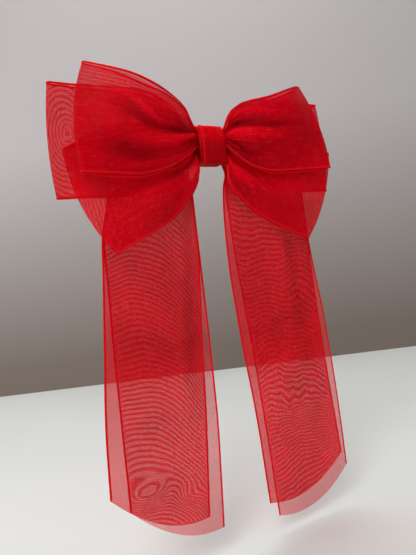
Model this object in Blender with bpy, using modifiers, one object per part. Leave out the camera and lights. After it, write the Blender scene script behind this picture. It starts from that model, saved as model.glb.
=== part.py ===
"""Long-tail organza hair bow on a French (spring) barrette, built as separate pieces.

Frame: +X to the viewer's right, -Y to the front (decorative side), +Z up.
Origin: middle of the clip's hair gap.  Lengths below are in millimetres and
are written to the scene in metres.
"""

import math

import bmesh
import bpy
import numpy as np
from mathutils import Vector

# ---------------------------------------------------------------- dimensions
MM = 0.001
RIBBON_WIDTH = 63.0        # 2 1/2 inch ribbon
CLOTH = 0.8                # thickness given to one ribbon layer
FOLD_RADIUS = 1.5          # roll of a loop at its fold

# depth of each gathered layer where it passes through the knot
Y_TAIL_REAR, Y_TAIL_FRONT = -10.7, -12.1
Y_REAR_BACK, Y_REAR_FRONT = -13.5, -14.9
Y_LOWER_BACK, Y_LOWER_FRONT = -16.3, -17.7
Y_UPPER_BACK, Y_UPPER_FRONT = -19.1, -20.5

# knot wrap
WRAP_HALF_WIDTH = 9.5      # ribbon folded in thirds
WRAP_CENTRE_X = -0.5
WRAP_THICK = 1.0
# inside corners of the wrap as y, z and rounding: below from front to back, then above to the front again
WRAP_CORNERS = ((-22.3, -10.9, 2.2), (-9.9, -10.3, 1.4), (-6.2, -6.2, 1.0),
                (-6.2, 6.2, 1.0), (-9.9, 10.8, 1.4), (-22.3, 11.6, 2.2))

# gathering thread
THREAD_DIAMETER = 0.5
THREAD_TURNS = 3
THREAD_PITCH = 0.9

# clip
PLATE_HALF_LENGTH = 41.5
PLATE_HALF_WIDTH = 4.8
PLATE_THICK = 1.0
PLATE_MID_Y = -7.0         # middle of the plate's thickness at its flat centre
PLATE_FLAT = 20.0          # half length of the flat centre
PLATE_SWEEP = 3.0          # how far the ends curve back toward the head
HINGE = (38.5, 0.3)        # x, y of the hinge axis, which runs along Z
PIN_RADIUS = 0.8
PIN_CLEAR = 0.3
KNUCKLE_RADIUS = 2.0
EAR_THICK = 0.8
ARM_HALF_WIDTH = 3.5
ARM_THICK = 0.9
ARM_MID_Y = 3.85
ARM_FLAT = 12.0
ARM_SWEEP = 3.0
ARM_TIP_X = -42.0
CATCH_X = -38.0            # middle of the catch slot in the arm's tip
SLOT_HALF = (2.3, 2.8)     # half length (x) and half width (z) of that slot
BAR_THICK = 0.45
BAR_HALF_WIDTH = 2.2
BAR_MID_Y = -3.65
BAR_SWEEP = 1.1
BAR_ENDS = (-31.2, 32.0)
FELT = (36.0, 5.5, -9.1, -8.1)   # half length, half width, front y, back y

RED = (0.62, 0.008, 0.022, 1.0)
DEEP_RED = (0.42, 0.006, 0.015, 1.0)
STEEL = (0.62, 0.62, 0.64, 1.0)
SPRING_STEEL = (0.52, 0.53, 0.56, 1.0)

# ---------------------------------------------------------------- scene setup
for old in list(bpy.data.objects):
    bpy.data.objects.remove(old, do_unlink=True)
for old in list(bpy.data.collections):
    bpy.data.collections.remove(old)

bow = bpy.data.collections.new("cheer_hair_bow")
bpy.context.scene.collection.children.link(bow)
cutters = bpy.data.collections.new("cutters")
bpy.context.scene.collection.children.link(cutters)


def material(name, colour, roughness, metallic=0.0):
    made = bpy.data.materials.new(name)
    made.use_nodes = True
    shader = made.node_tree.nodes["Principled BSDF"]
    shader.inputs["Base Color"].default_value = colour
    shader.inputs["Roughness"].default_value = roughness
    shader.inputs["Metallic"].default_value = metallic
    made.diffuse_color = colour
    return made


ORGANZA = material("red_organza", RED, 0.45)
WRAP_ORGANZA = material("wrap_organza", DEEP_RED, 0.5)
THREAD = material("red_thread", DEEP_RED, 0.6)
FELT_CLOTH = material("red_felt", DEEP_RED, 0.95)
NICKEL = material("nickel_steel", STEEL, 0.3, 1.0)
SPRING = material("spring_steel", SPRING_STEEL, 0.35, 1.0)


def mesh_object(name, points, faces, stuff, pivot=(0.0, 0.0, 0.0), into=bow):
    """A mesh object whose origin lies at the pivot; points are in millimetres."""
    mesh = bpy.data.meshes.new(name)
    local = [tuple((p[i] - pivot[i]) * MM for i in range(3)) for p in points]
    mesh.from_pydata(local, [], faces)
    mesh.update()
    made = bpy.data.objects.new(name, mesh)
    made.location = [c * MM for c in pivot]
    if stuff:
        mesh.materials.append(stuff)
    into.objects.link(made)
    return made


def shell(made, thick):
    """Gives an open sheet its thickness, evenly on both sides."""
    solid = made.modifiers.new("thickness", "SOLIDIFY")
    solid.thickness = thick * MM
    solid.offset = 0.0
    solid.use_even_offset = True
    solid.use_rim = True


def face_out(made):
    work = bmesh.new()
    work.from_mesh(made.data)
    bmesh.ops.recalc_face_normals(work, faces=work.faces)
    work.to_mesh(made.data)
    work.free()


# ------------------------------------------------------------- ribbon lofting
def smooth_through(points):
    """A smooth curve through the points, taking a fraction of its length."""
    knots = np.array(points, float)
    steps = np.linalg.norm(np.diff(knots, axis=0), axis=1)
    along = np.concatenate([[0.0], np.cumsum(steps)])
    along /= along[-1]
    slopes = np.gradient(knots, along, axis=0)

    def at(u):
        u = min(max(u, 0.0), 1.0)
        i = min(int(np.searchsorted(along, u, side="right")) - 1, len(along) - 2)
        i = max(i, 0)
        span = along[i + 1] - along[i]
        f = (u - along[i]) / span
        a, b = knots[i], knots[i + 1]
        ta, tb = slopes[i] * span, slopes[i + 1] * span
        return (
            (2 * f**3 - 3 * f**2 + 1) * a
            + (f**3 - 2 * f**2 + f) * ta
            + (-2 * f**3 + 3 * f**2) * b
            + (f**3 - f**2) * tb
        )

    return at


def hump(u, peak, width):
    """1 at the peak, falling smoothly to 0 at a distance of width."""
    f = min(abs(u - peak) / width, 1.0)
    return 0.5 + 0.5 * math.cos(math.pi * f)


def layer(top, bottom, bow_out=0.0, bulge=0.0, bulge_at=0.0, bulge_wide=1.0, pleat=0.0,
          folds=2.5, turn=0.0):
    """One ribbon layer of a loop, from the middle of the knot (u=0) to the fold (u=1).

    top and bottom are the two edges as (x, y, z). bow_out rounds the fold,
    bulge puffs the layer forward round the height bulge_at, pleat gathers it.
    """
    upper, lower = smooth_through(top), smooth_through(bottom)

    def at(u, t):
        a, b = lower(u), upper(u)
        point = a + (b - a) * (t + 1) / 2
        across = (upper(1.0) - lower(1.0))[[0, 2]]
        across /= np.linalg.norm(across)
        out = np.array([across[1], 0.0, -across[0]])
        point = point + out * bow_out * u**3 * (1 - t * t)
        crown = hump(t, bulge_at, bulge_wide)
        open_out = min(max((u - 0.14) / 0.8, 0.0), 1.0)
        point[1] -= bulge * math.sin(math.pi * open_out) ** 1.5 * crown
        wave = math.cos(math.pi * folds * t + turn) * (1 - 0.3 * t * t)
        point[1] -= pleat * hump(u, 0.4, 0.28) * wave
        return point

    return at


def loop_pair(name, fronts, backs, outward, steps=11, rows=10, cap=4):
    """One strip of ribbon: both loops of a pair, pinched in the middle.

    fronts and backs hold the left loop's layer and the right loop's layer.
    """
    fractions = [(i / steps) ** 0.9 for i in range(steps + 1)]
    heights = [-1 + 2 * j / rows for j in range(rows + 1)]
    direction = Vector((outward[0], 0.0, outward[1])).normalized()
    columns = []

    def side(sign):
        front, back = (pair[sign > 0] for pair in (fronts, backs))
        run = []
        for u in fractions:
            run.append([front(u, t) for t in heights])
        for k in range(1, cap):
            turn = math.pi * k / cap
            run.append(
                [
                    (front(1, t) + back(1, t)) / 2
                    + np.array([direction.x, 0, direction.z]) * FOLD_RADIUS * math.sin(turn)
                    - np.array([0, 1, 0]) * (back(1, t)[1] - front(1, t)[1]) / 2 * math.cos(turn)
                    for t in heights
                ]
            )
        for u in reversed(fractions):
            run.append([back(u, t) for t in heights])
        return [[np.array([sign * p[0], p[1], p[2]]) for p in row] for row in run]

    right, left = side(1), side(-1)
    columns = right[:-1] + list(reversed(left))[:-1]
    points = [p for column in columns for p in column]
    count, height = len(columns), rows + 1
    faces = []
    for i in range(count):
        k = (i + 1) % count
        for j in range(rows):
            faces.append((i * height + j, k * height + j, k * height + j + 1, i * height + j + 1))
    made = mesh_object(name, points, faces, ORGANZA)
    face_out(made)
    shell(made, CLOTH)
    return made


# rear loops: the widest pair, almost level, closest to the clip
rear_front = layer(
    top=[(0, Y_REAR_FRONT, 8.7), (10.5, Y_REAR_FRONT, 9.6), (22, -15.5, 25.4), (30, -16.5, 30.2),
         (42, -17.5, 33.2), (58, -18, 33.4), (80, -17.5, 33), (94, -17.5, 33.2)],
    bottom=[(0, Y_REAR_FRONT, -8.7), (10.5, Y_REAR_FRONT, -9.6), (21, -15.6, -22), (31, -16.4, -27.5),
            (50, -17, -30), (74, -17, -30.5), (96, -16.4, -30.1)],
    bow_out=2.2, bulge=0.8)
rear_back = layer(
    top=[(0, Y_REAR_BACK, 8.7), (10.5, Y_REAR_BACK, 9.6), (22, -13.7, 24.6), (30, -13.9, 29.2),
         (42, -14, 32), (58, -14.2, 32.4), (80, -14.3, 32.6), (94, -14.5, 33.2)],
    bottom=[(0, Y_REAR_BACK, -8.7), (10.5, Y_REAR_BACK, -9.6), (21, -13.9, -21), (31, -14.3, -26.2),
            (50, -14.5, -28.6), (74, -14.2, -29.6), (96, -13.4, -30.1)],
    bow_out=2.2)

# lower front loops: drop outward and down, partly under the upper pair
lower_front_left = layer(
    top=[(0, Y_LOWER_FRONT, 6), (10.5, Y_LOWER_FRONT, 4), (25, -19.6, 12.5), (45, -22.4, 12.5),
         (70, -24.6, 6), (84, -26.2, -1), (92.5, -26.8, -5.3)],
    bottom=[(0, Y_LOWER_FRONT, -9.2), (10.7, Y_LOWER_FRONT, -9.6), (11.1, -19.6, -13), (11.6, -20.2, -16.6),
            (13, -20, -21), (15.4, -19.8, -25.6), (19.6, -19.9, -31.6), (25.4, -20.6, -38.4), (32, -21.4, -44.6),
            (43, -22.3, -50.8), (56.5, -23, -57.3), (69, -23.4, -62.6)],
    bow_out=5.0, bulge=6.0, bulge_at=-0.55, bulge_wide=0.5, pleat=0.4, folds=2.0, turn=0.6)
lower_front_right = layer(
    top=[(0, Y_LOWER_FRONT, 6), (10.5, Y_LOWER_FRONT, 4), (25, -19.6, 12.5), (45, -22.4, 12.5),
         (70, -24.6, 6), (84, -26.2, -1), (92.5, -26.8, -5.3)],
    bottom=[(0, Y_LOWER_FRONT, -9.2), (10.3, Y_LOWER_FRONT, -9.6), (10.2, -18.6, -13.2), (9.5, -19.2, -17),
            (9, -19.3, -22), (10.6, -19.4, -27), (14.8, -19.7, -31.8), (22.2, -20.4, -39.2), (31, -21.2, -45.8),
            (42, -22.2, -52), (54, -22.9, -57.8), (67.8, -23.4, -63.8)],
    bow_out=5.0, bulge=6.0, bulge_at=-0.55, bulge_wide=0.5, pleat=0.4, folds=2.0, turn=0.6)
lower_back_left = layer(
    top=[(0, Y_LOWER_BACK, 6), (10.5, Y_LOWER_BACK, 4), (25, -18.1, 11.5), (45, -20.3, 11.5),
         (70, -21.9, 5), (84, -23.2, -1.6), (92.5, -23.8, -5.3)],
    bottom=[(0, Y_LOWER_BACK, -9.2), (10.7, Y_LOWER_BACK, -9.6), (10.9, -17.3, -13), (11, -17.6, -16.8),
            (12.2, -17.7, -21.2), (14.5, -17.8, -25.8), (18.7, -18, -31.8), (24.5, -18.4, -38.5), (31.1, -18.9, -44.7),
            (42.2, -19.6, -50.8), (55.8, -20.2, -57.2), (69, -20.4, -62.6)],
    bow_out=5.0)
lower_back_right = layer(
    top=[(0, Y_LOWER_BACK, 6), (10.5, Y_LOWER_BACK, 4), (25, -18.1, 11.5), (45, -20.3, 11.5),
         (70, -21.9, 5), (84, -23.2, -1.6), (92.5, -23.8, -5.3)],
    bottom=[(0, Y_LOWER_BACK, -9.2), (10.3, Y_LOWER_BACK, -9.6), (10.4, -17, -13.4), (10.2, -17.4, -17.4),
            (10.1, -17.5, -22.2), (11.7, -17.7, -27.2), (15.9, -18, -32.2), (23.3, -18.4, -39.4), (32, -19, -46),
            (43, -19.7, -52.2), (55, -20.2, -57.9), (67.8, -20.4, -63.8)],
    bow_out=5.0)

# upper front loops: the top edge swings well forward of the knot
upper_front_left = layer(
    top=[(0, Y_UPPER_FRONT, 9.2), (10.7, Y_UPPER_FRONT, 10), (19, -26, 19.5), (31, -34, 24.8),
         (44, -40.5, 28.2), (56, -41, 32), (64, -36, 36), (70.4, -29, 40.3), (75.2, -24.8, 43)],
    bottom=[(0, Y_UPPER_FRONT, -6), (10.7, Y_UPPER_FRONT, -1.8), (14.9, -22.9, -5.2), (21.5, -24.4, -9.7),
            (31, -25.4, -14.4), (40, -26.4, -17.4), (52, -28.2, -19.8), (70, -31.8, -20.2), (86, -34.5, -20.2)],
    bow_out=4.2, bulge=4.0, pleat=2.0, folds=2.5, turn=0.3)
upper_front_right = layer(
    top=[(0, Y_UPPER_FRONT, 9.2), (10.7, Y_UPPER_FRONT, 10), (13.4, -22.8, 17.4), (16, -24.6, 21.6),
         (19.8, -27.5, 24.3), (26, -32, 25.8), (32.7, -36, 26.6), (38, -38.5, 27.6), (48, -40.6, 30.8),
         (57.4, -38.5, 34.4), (66, -32, 38.2), (73.6, -25, 41.5)],
    bottom=[(0, Y_UPPER_FRONT, -6), (10.7, Y_UPPER_FRONT, -0.6), (14.7, -22.8, -5.6), (22, -24.4, -12),
            (31, -25.4, -15.9), (40, -26.4, -17.7), (52, -28.2, -17.8), (70, -31.8, -17.4), (84.9, -34.5, -17.4)],
    bow_out=4.6, bulge=4.0, pleat=2.0, folds=2.5, turn=0.3)
upper_back_left = layer(
    top=[(0, Y_UPPER_BACK, 9.2), (10.7, Y_UPPER_BACK, 9.9), (17.4, -22.6, 19.6), (28.6, -26.5, 27),
         (44, -27.5, 32.6), (56, -27.5, 36.6), (64, -26, 39.2), (70.4, -23.5, 41.4), (75.2, -21.8, 43)],
    bottom=[(0, Y_UPPER_BACK, -6), (10.7, Y_UPPER_BACK, -2), (14.9, -21.3, -5), (21.5, -22.8, -9.4),
            (31, -23.6, -14.6), (40, -24.4, -18.6), (52, -26, -21.2), (70, -29, -21.6), (86, -31.5, -20.4)],
    bow_out=4.2, bulge=0.8)
upper_back_right = layer(
    top=[(0, Y_UPPER_BACK, 9.2), (10.7, Y_UPPER_BACK, 9.9), (14.4, -21.4, 17.2), (18, -22.4, 21.2),
         (24, -24, 24.2), (31, -25.5, 25.8), (44, -27.5, 29), (56, -27.5, 33), (64, -26, 36.6), (73.6, -22, 41.5)],
    bottom=[(0, Y_UPPER_BACK, -6), (10.7, Y_UPPER_BACK, -0.8), (14.7, -21.2, -5.4), (22, -22.8, -11.7),
            (31, -23.6, -16), (40, -24.4, -18.6), (52, -26, -19), (70, -29, -18.6), (84.9, -31.5, -17.6)],
    bow_out=4.6, bulge=0.8)

loop_pair("rear_loop_ribbon", (rear_front, rear_front), (rear_back, rear_back), (1.0, 0.0))
loop_pair("lower_loop_ribbon", (lower_front_left, lower_front_right), (lower_back_left, lower_back_right),
          (0.92, -0.38))
loop_pair("upper_loop_ribbon", (upper_front_left, upper_front_right), (upper_back_left, upper_back_right),
          (0.99, 0.15))


# ---------------------------------------------------------------------- tails
def tail(name, inner, outer, end_drop, sign, depth, drift, steps=17, rows=6):
    """A hanging length of ribbon: gathered at the knot, full width below it.

    inner and outer are the edges as (x, z); end_drop rounds the cut end.
    """
    edge_in, edge_out = smooth_through(inner), smooth_through(outer)
    pivot = (sign * TAIL_PIVOT_X, depth, 0.0)
    points, faces = [], []
    for i in range(steps + 1):
        u = (i / steps) ** 1.7
        for j in range(rows + 1):
            t = j / rows
            a, b = edge_in(u), edge_out(u)
            x, z = a + (b - a) * t
            z -= end_drop * u**6 * 4 * t * (1 - t)
            open_out = min(max((u - 0.15) / 0.3, 0.0), 1.0)
            y = depth + drift * u * u + 0.35 * open_out * math.sin(2.3 * math.pi * u + 2.0 * t)
            points.append((sign * x, y, z))
    for i in range(steps):
        for j in range(rows):
            a = i * (rows + 1) + j
            faces.append((a, a + 1, a + rows + 2, a + rows + 1))
    made = mesh_object(name, points, faces, ORGANZA, pivot)
    face_out(made)
    shell(made, CLOTH)
    return made


TAIL_PIVOT_X = 6.0
tail("tail_left_front", [(3, -8.4), (10.9, -8.5), (13.3, -13), (12.8, -26), (13.5, -62), (19, -120), (23, -165), (30, -229)],
     [(3, 8.4), (10.5, 8), (36, 2), (58, -8), (66.5, -20), (69.5, -34), (74.4, -52), (77, -75), (82, -120), (86.5, -160), (89, -199)],
     9.0, -1, Y_TAIL_FRONT, -4.0)
tail("tail_left_rear", [(3, -8.4), (10.9, -8.5), (13.3, -13), (12.4, -26), (12, -62), (12.5, -120), (13.5, -170), (18, -242)],
     [(3, 8.4), (10.5, 8), (34, 1), (56, -9), (64.5, -20), (68.5, -34), (73, -52), (74.2, -82), (75.4, -120), (76, -160), (77, -212)],
     9.0, -1, Y_TAIL_REAR, 0.5)
tail("tail_right_front", [(3, -8.4), (10.9, -8.5), (13, -13), (10.4, -26), (7.8, -62), (9, -120), (13, -177), (15, -236)],
     [(3, 8.4), (10.5, 8), (38, 2), (62, -7), (73.5, -20), (76, -40), (76, -62), (77, -120), (79, -170), (81, -221)],
     9.0, 1, Y_TAIL_FRONT, -4.0)
tail("tail_right_rear", [(3, -8.4), (10.9, -8.5), (13.3, -13), (13, -26), (14, -62), (18, -120), (21.5, -180), (25, -250)],
     [(3, 8.4), (10.5, 8), (38, 3), (64, -6), (76.5, -20), (78.2, -40), (78.6, -62), (85, -120), (89, -180), (90, -234)],
     10.0, 1, Y_TAIL_REAR, 0.5)


# ------------------------------------------------------------------ knot wrap
def ring_band(name, centre_x, half_width, corners, thick, crown, stuff):
    """A flat band wrapped round the gathered ribbons and the clip's plate.

    corners are its inside corners in order, as (y, z, radius).
    """
    def section(grow):
        places, radii = [Vector((y, z)) for y, z, r in corners], [r for y, z, r in corners]
        out, count = [], len(places)
        for i, place in enumerate(places):
            before = (places[i - 1] - place).normalized()
            after = (places[(i + 1) % count] - place).normalized()
            half = before.angle(after) / 2
            centre = place + (before + after).normalized() * radii[i] / math.sin(half)
            first = place + before * radii[i] / math.tan(half) - centre
            last = place + after * radii[i] / math.tan(half) - centre
            for k in range(6):
                way = first.lerp(last, k / 5).normalized()
                spot = centre + way * (radii[i] + grow)
                out.append((spot.x, spot.y))
            if i == count - 1:
                start, end = Vector(out[-1]), Vector((out[0][0], out[0][1]))
                for k in range(1, 7):
                    spot = start.lerp(end, k / 7)
                    out.append((spot.x - crown * math.sin(math.pi * k / 7), spot.y))
        return out

    inner, edge, outer = section(0.0), section(0.7 * thick), section(thick)
    count = len(inner)
    profile = ((-half_width, edge), (0.3 - half_width, outer), (half_width - 0.3, outer),
               (half_width, edge), (half_width, inner), (-half_width, inner))
    points = [(centre_x + x, y, z) for x, ring in profile for y, z in ring]
    faces = []
    for i in range(len(profile)):
        a, b = i * count, (i + 1) % len(profile) * count
        faces += [(a + k, a + (k + 1) % count, b + (k + 1) % count, b + k) for k in range(count)]
    made = mesh_object(name, points, faces, stuff)
    face_out(made)
    return made


ring_band("centre_wrap", WRAP_CENTRE_X, WRAP_HALF_WIDTH, WRAP_CORNERS, WRAP_THICK, 1.2, WRAP_ORGANZA)


# ----------------------------------------------------------- gathering thread
def thread_coil():
    """A few turns of thread drawn tight round the gathered ribbon middles."""
    curve = bpy.data.curves.new("gathering_thread", "CURVE")
    curve.dimensions = "3D"
    curve.bevel_depth = THREAD_DIAMETER / 2 * MM
    curve.bevel_resolution = 2
    curve.use_fill_caps = True
    spline = curve.splines.new("POLY")
    front_z, back_z, front, back, corner = 10.15, 9.5, -21.55, -9.75, 1.0
    outline = []
    for cy, cz, start in ((front + corner, front_z - corner, 90), (front + corner, corner - front_z, 180),
                          (back - corner, corner - back_z, 270), (back - corner, back_z - corner, 0)):
        for k in range(4):
            turn = math.radians(start + 30 * k)
            outline.append((cy + corner * math.cos(turn), cz + corner * math.sin(turn)))
    total = len(outline) * THREAD_TURNS
    spline.points.add(total - 1)
    for k in range(total):
        y, z = outline[k % len(outline)]
        x = THREAD_PITCH * (k / len(outline) - THREAD_TURNS / 2)
        spline.points[k].co = (x * MM, y * MM, z * MM, 1.0)
    made = bpy.data.objects.new("gathering_thread", curve)
    curve.materials.append(THREAD)
    bow.objects.link(made)


thread_coil()


# ----------------------------------------------------------------- clip parts
def plate_y(x):
    past = max(0.0, abs(x) - PLATE_FLAT) / PLATE_FLAT
    return PLATE_MID_Y + PLATE_SWEEP * past * past


def arm_y(x):
    past = max(0.0, abs(x) - ARM_FLAT) / (HINGE[0] - ARM_FLAT)
    return ARM_MID_Y - ARM_SWEEP * past * past


def bar_y(x):
    return BAR_MID_Y - BAR_SWEEP * (x / 32.0) ** 2


def strip(name, height_at, start, end, thick, half_width, stuff, stations, pivot=(0, 0, 0), into=bow,
          corner=0.0):
    """A bent metal strip: an X-Y profile carried across Z, its ends rounded in plan."""
    points, faces = [], []
    for x in stations:
        near = min(x - start, end - x)
        w = half_width
        if corner and near < corner:
            w = half_width - corner + math.sqrt(max(corner**2 - (corner - near) ** 2, 0.0))
        slope = (height_at(x + 0.01) - height_at(x - 0.01)) / 0.02
        n = np.array([-slope, 1.0]) / math.hypot(slope, 1.0) * thick / 2
        y = height_at(x)
        points += [(x - n[0], y - n[1], -w), (x + n[0], y + n[1], -w),
                   (x + n[0], y + n[1], w), (x - n[0], y - n[1], w)]
    count = len(stations)
    for i in range(count - 1):
        for k in range(4):
            m = (k + 1) % 4
            faces.append((4 * i + k, 4 * i + m, 4 * i + 4 + m, 4 * i + 4 + k))
    faces += [(0, 3, 2, 1), tuple(4 * (count - 1) + k for k in range(4))]
    made = mesh_object(name, points, faces, stuff, pivot, into)
    face_out(made)
    return made


def stations_between(start, end, count, ends=()):
    return sorted(set(np.round(np.linspace(start, end, count), 4)) | set(ends))


def cylinder(name, centre, axis, radius, length, sides=24, into=cutters, stuff=None, pivot=(0, 0, 0)):
    """A plain cylinder whose middle is at centre."""
    points, faces = [], []
    for end in (-0.5, 0.5):
        for k in range(sides):
            turn = 2 * math.pi * k / sides
            a, b = radius * math.cos(turn), radius * math.sin(turn)
            local = {"X": (length * end, a, b), "Y": (a, length * end, b), "Z": (a, b, length * end)}[axis]
            points.append(tuple(c + d for c, d in zip(centre, local)))
    for k in range(sides):
        n = (k + 1) % sides
        faces.append((k, n, sides + n, sides + k))
    faces += [tuple(range(sides))[::-1], tuple(range(sides, 2 * sides))]
    made = mesh_object(name, points, faces, stuff, pivot, into)
    face_out(made)
    return made


def box(name, low, high, into=cutters, stuff=None, pivot=(0, 0, 0)):
    points = [(x, y, z) for x in (low[0], high[0]) for y in (low[1], high[1]) for z in (low[2], high[2])]
    faces = [(0, 1, 3, 2), (4, 6, 7, 5), (0, 4, 5, 1), (2, 3, 7, 6), (0, 2, 6, 4), (1, 5, 7, 3)]
    made = mesh_object(name, points, faces, stuff, pivot, into)
    face_out(made)
    return made


def combine(made, other, operation):
    step = made.modifiers.new(operation.lower() + "_" + other.name, "BOOLEAN")
    step.operation = operation
    step.object = other
    step.solver = "EXACT"


def outline_plate(name, outline, low_z, high_z, into=cutters, stuff=None, pivot=(0, 0, 0)):
    """A flat plate: an X-Y outline with thickness along Z."""
    count = len(outline)
    points = [(x, y, z) for z in (low_z, high_z) for x, y in outline]
    faces = [(k, (k + 1) % count, count + (k + 1) % count, count + k) for k in range(count)]
    faces += [tuple(range(count))[::-1], tuple(range(count, 2 * count))]
    made = mesh_object(name, points, faces, stuff, pivot, into)
    face_out(made)
    return made


# base plate with two hinge ears
plate_stations = stations_between(-PLATE_HALF_LENGTH, PLATE_HALF_LENGTH, 24,
                                  (-PLATE_FLAT, PLATE_FLAT, -41.2, -40.6, -39.6, 41.2, 40.6, 39.6))
base = strip("base_plate", plate_y, -PLATE_HALF_LENGTH, PLATE_HALF_LENGTH, PLATE_THICK, PLATE_HALF_WIDTH,
             NICKEL, plate_stations, corner=2.0)
ear_outline = [(36.2, plate_y(36.2)), (41.0, plate_y(41.0))]
for k in range(9):
    turn = math.radians(20 + 17.5 * k)
    ear_outline.append((HINGE[0] + 2.1 * math.cos(turn), HINGE[1] + 2.1 * math.sin(turn)))
for side, sign in (("upper", 1), ("lower", -1)):
    faces_z = sorted((sign * (PLATE_HALF_WIDTH - EAR_THICK), sign * PLATE_HALF_WIDTH))
    ear = outline_plate("ear_" + side, ear_outline, faces_z[0], faces_z[1])
    combine(base, ear, "UNION")
combine(base, cylinder("ear_bore", (HINGE[0], HINGE[1], 0), "Z", PIN_RADIUS + PIN_CLEAR, 14), "DIFFERENCE")
RIVET_X = -33.6
combine(base, cylinder("plate_rivet_bore", (RIVET_X, plate_y(RIVET_X), 0), "Y", 1.1, 8), "DIFFERENCE")

# hinge pin with two small heads
pin = cylinder("hinge_pin", (HINGE[0], HINGE[1], 0), "Z", PIN_RADIUS, 2 * PLATE_HALF_WIDTH + 1.4,
               into=bow, stuff=NICKEL)
for side, sign in (("upper", 1), ("lower", -1)):
    head = cylinder("pin_head_" + side, (HINGE[0], HINGE[1], sign * (PLATE_HALF_WIDTH + 0.65)), "Z", 1.5, 0.7)
    combine(pin, head, "UNION")

# locking arm: knuckle on the pin, catch slot at its tip
arm_pivot = (HINGE[0], HINGE[1], 0.0)
arm_stations = stations_between(ARM_TIP_X, HINGE[0] - 1.0, 24, (-ARM_FLAT, ARM_FLAT, -41.7, -41.0, -40.0))
arm = strip("locking_arm", arm_y, ARM_TIP_X, 60.0, ARM_THICK, ARM_HALF_WIDTH + 0.9, NICKEL, arm_stations,
            pivot=arm_pivot, corner=2.0)
for side, sign in (("upper", 1), ("lower", -1)):
    z = sorted((sign * ARM_HALF_WIDTH, sign * 8.0))
    combine(arm, box("arm_trim_" + side, (-34.0, -4.0, z[0]), (60.0, 8.0, z[1])), "DIFFERENCE")
knuckle = cylinder("knuckle", (HINGE[0], HINGE[1], 0), "Z", KNUCKLE_RADIUS, 2 * ARM_HALF_WIDTH)
combine(arm, knuckle, "UNION")
combine(arm, cylinder("knuckle_bore", (HINGE[0], HINGE[1], 0), "Z", PIN_RADIUS + PIN_CLEAR, 14), "DIFFERENCE")
combine(arm, box("catch_slot", (CATCH_X - SLOT_HALF[0], -4.0, -SLOT_HALF[1]),
                 (CATCH_X + SLOT_HALF[0], 8.0, SLOT_HALF[1])), "DIFFERENCE")

# tension bar: thin bowed spring strip that presses the hair against the arm
strip("tension_bar", bar_y, BAR_ENDS[0], BAR_ENDS[1], BAR_THICK, BAR_HALF_WIDTH, SPRING,
      stations_between(BAR_ENDS[0], BAR_ENDS[1], 20, (-31.0, -30.6, -30.0, 31.8, 31.4, 30.8)), corner=1.2)

# clasp foot riveted to the plate, and its two sprung prongs
FOOT_LIFT = PLATE_THICK / 2 + 0.35


def foot_y(x):
    return plate_y(x) + FOOT_LIFT + 0.3


foot = strip("clasp_foot", foot_y, -41.0, -31.8, 0.6, 3.2, SPRING, stations_between(-41.0, -31.8, 10), corner=0.0)
combine(foot, cylinder("foot_rivet_bore", (RIVET_X, foot_y(RIVET_X), 0), "Y", 1.1, 8), "DIFFERENCE")
prong_foot = foot_y(CATCH_X) + 0.3 + 0.85
for side, sign in (("upper", 1), ("lower", -1)):
    outline = [(1.2, prong_foot), (1.9, prong_foot), (1.9, 1.6), (2.45, 1.75), (1.9, 3.2), (1.75, 5.2), (1.2, 5.2)]
    points = [(x, y, sign * z) for x in (CATCH_X - 1.6, CATCH_X + 1.6) for z, y in outline]
    n = len(outline)
    faces = [(k, (k + 1) % n, n + (k + 1) % n, n + k) for k in range(n)]
    faces += [tuple(range(n))[::-1], tuple(range(n, 2 * n))]
    prong = mesh_object("clasp_prong_" + side, points, faces, SPRING, (CATCH_X, prong_foot, sign * 1.55))
    face_out(prong)

# clasp rivet
low, high = plate_y(RIVET_X) - 1.22, foot_y(RIVET_X) + 1.0
rivet = cylinder("clasp_rivet", (RIVET_X, (low + high) / 2, 0), "Y", 0.8, high - low + 0.8, into=bow, stuff=NICKEL)
combine(rivet, cylinder("rivet_head_front", (RIVET_X, low - 0.15, 0), "Y", 1.5, 0.5), "UNION")
combine(rivet, cylinder("rivet_head_back", (RIVET_X, high + 0.2, 0), "Y", 1.5, 0.5), "UNION")

# felt backing pad between the plate and the ribbons
pad_outline = []
half_long, half_wide = FELT[0], FELT[1]
for cx, start in ((half_long - half_wide, -90), (half_wide - half_long, 90)):
    for k in range(9):
        turn = math.radians(start + 22.5 * k)
        pad_outline.append((cx + half_wide * math.cos(turn), half_wide * math.sin(turn)))
count = len(pad_outline)
pad_points = [(x, y, z) for y in (FELT[2], FELT[3]) for x, z in pad_outline]
pad_faces = [(k, (k + 1) % count, count + (k + 1) % count, count + k) for k in range(count)]
pad_faces += [tuple(range(count))[::-1], tuple(range(count, 2 * count))]
face_out(mesh_object("backing_pad", pad_points, pad_faces, FELT_CLOTH))

# cutters and boolean helpers stay out of the render
cutters.hide_render = True
for helper in cutters.objects:
    helper.hide_render = True
    helper.display_type = "WIRE"
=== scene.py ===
"""Looks of the long-tail organza hair bow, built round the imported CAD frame.

Frame: +X to the viewer's right, -Y to the front, +Z up.  Shapes are worked out
in millimetres, as in the CAD, and are written to the meshes in metres.
"""

import math

import bmesh
import bpy
import numpy as np
from mathutils import Matrix, Vector


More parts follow.
